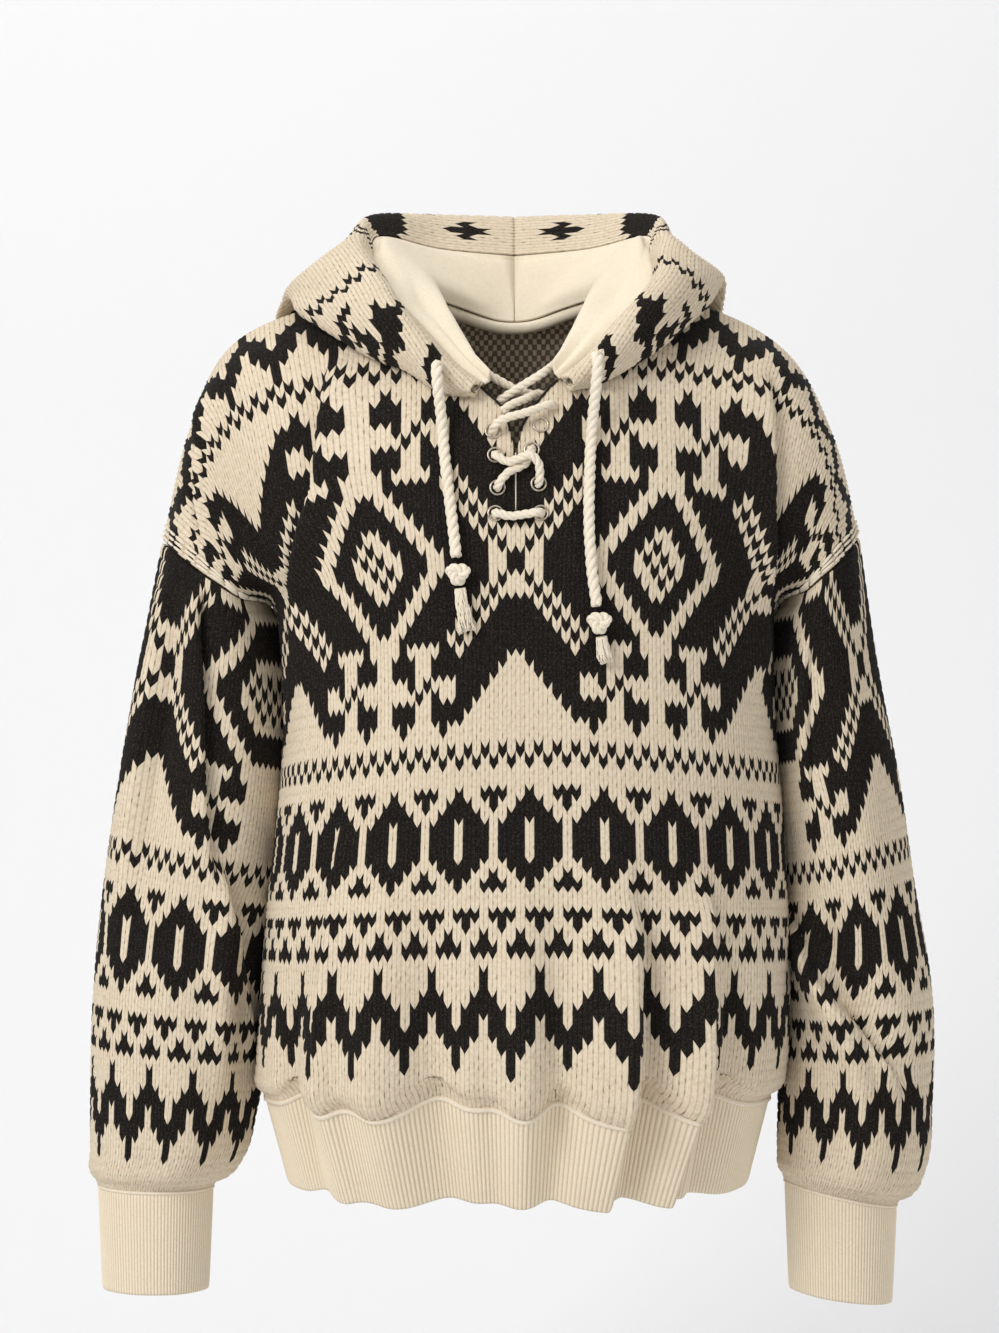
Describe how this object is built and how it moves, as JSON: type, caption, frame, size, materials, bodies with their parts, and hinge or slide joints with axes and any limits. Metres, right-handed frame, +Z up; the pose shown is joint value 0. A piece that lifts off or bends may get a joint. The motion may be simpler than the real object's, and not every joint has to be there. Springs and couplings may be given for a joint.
{
  "type": "hooded sweater",
  "caption": "Hollow worn pullover with dropped shoulders, ribbed cuffs and hem, a laced neck opening and a lined hood lying down with knotted drawstrings.",
  "frame": {"origin": "base of the neck, midway between the shoulder seams' neck ends", "axes": "+Z up, -Y to the wearer's front, -X to the wearer's right"},
  "size_m": [0.5847, 0.307, 0.7557],
  "materials": {
    "knit": "matte",
    "rib": "matte",
    "fleece": "matte",
    "rope": "matte",
    "metal": "satin"
  },
  "bodies": {
    "root": {"front_panel": "knit", "back_panel": "knit", "sleeve_right": "knit", "sleeve_left": "knit", "cuff_right": "rib", "cuff_left": "rib", "hem_band": "rib", "hood_right": "knit", "hood_left": "knit", "hood_lining_right": "fleece", "hood_lining_left": "fleece", "eyelet_right_1": "metal", "eyelet_right_2": "metal", "eyelet_right_3": "metal", "eyelet_right_4": "metal", "eyelet_left_1": "metal", "eyelet_left_2": "metal", "eyelet_left_3": "metal", "eyelet_left_4": "metal", "lace": "rope", "drawstring_right": "rope", "drawstring_left": "rope", "drawstring_knot_right": "rope", "drawstring_knot_left": "rope", "drawstring_tassel_right": "rope", "drawstring_tassel_left": "rope", "neck_cord_right": "rope", "neck_cord_left": "rope"}
  },
  "joints": []
}
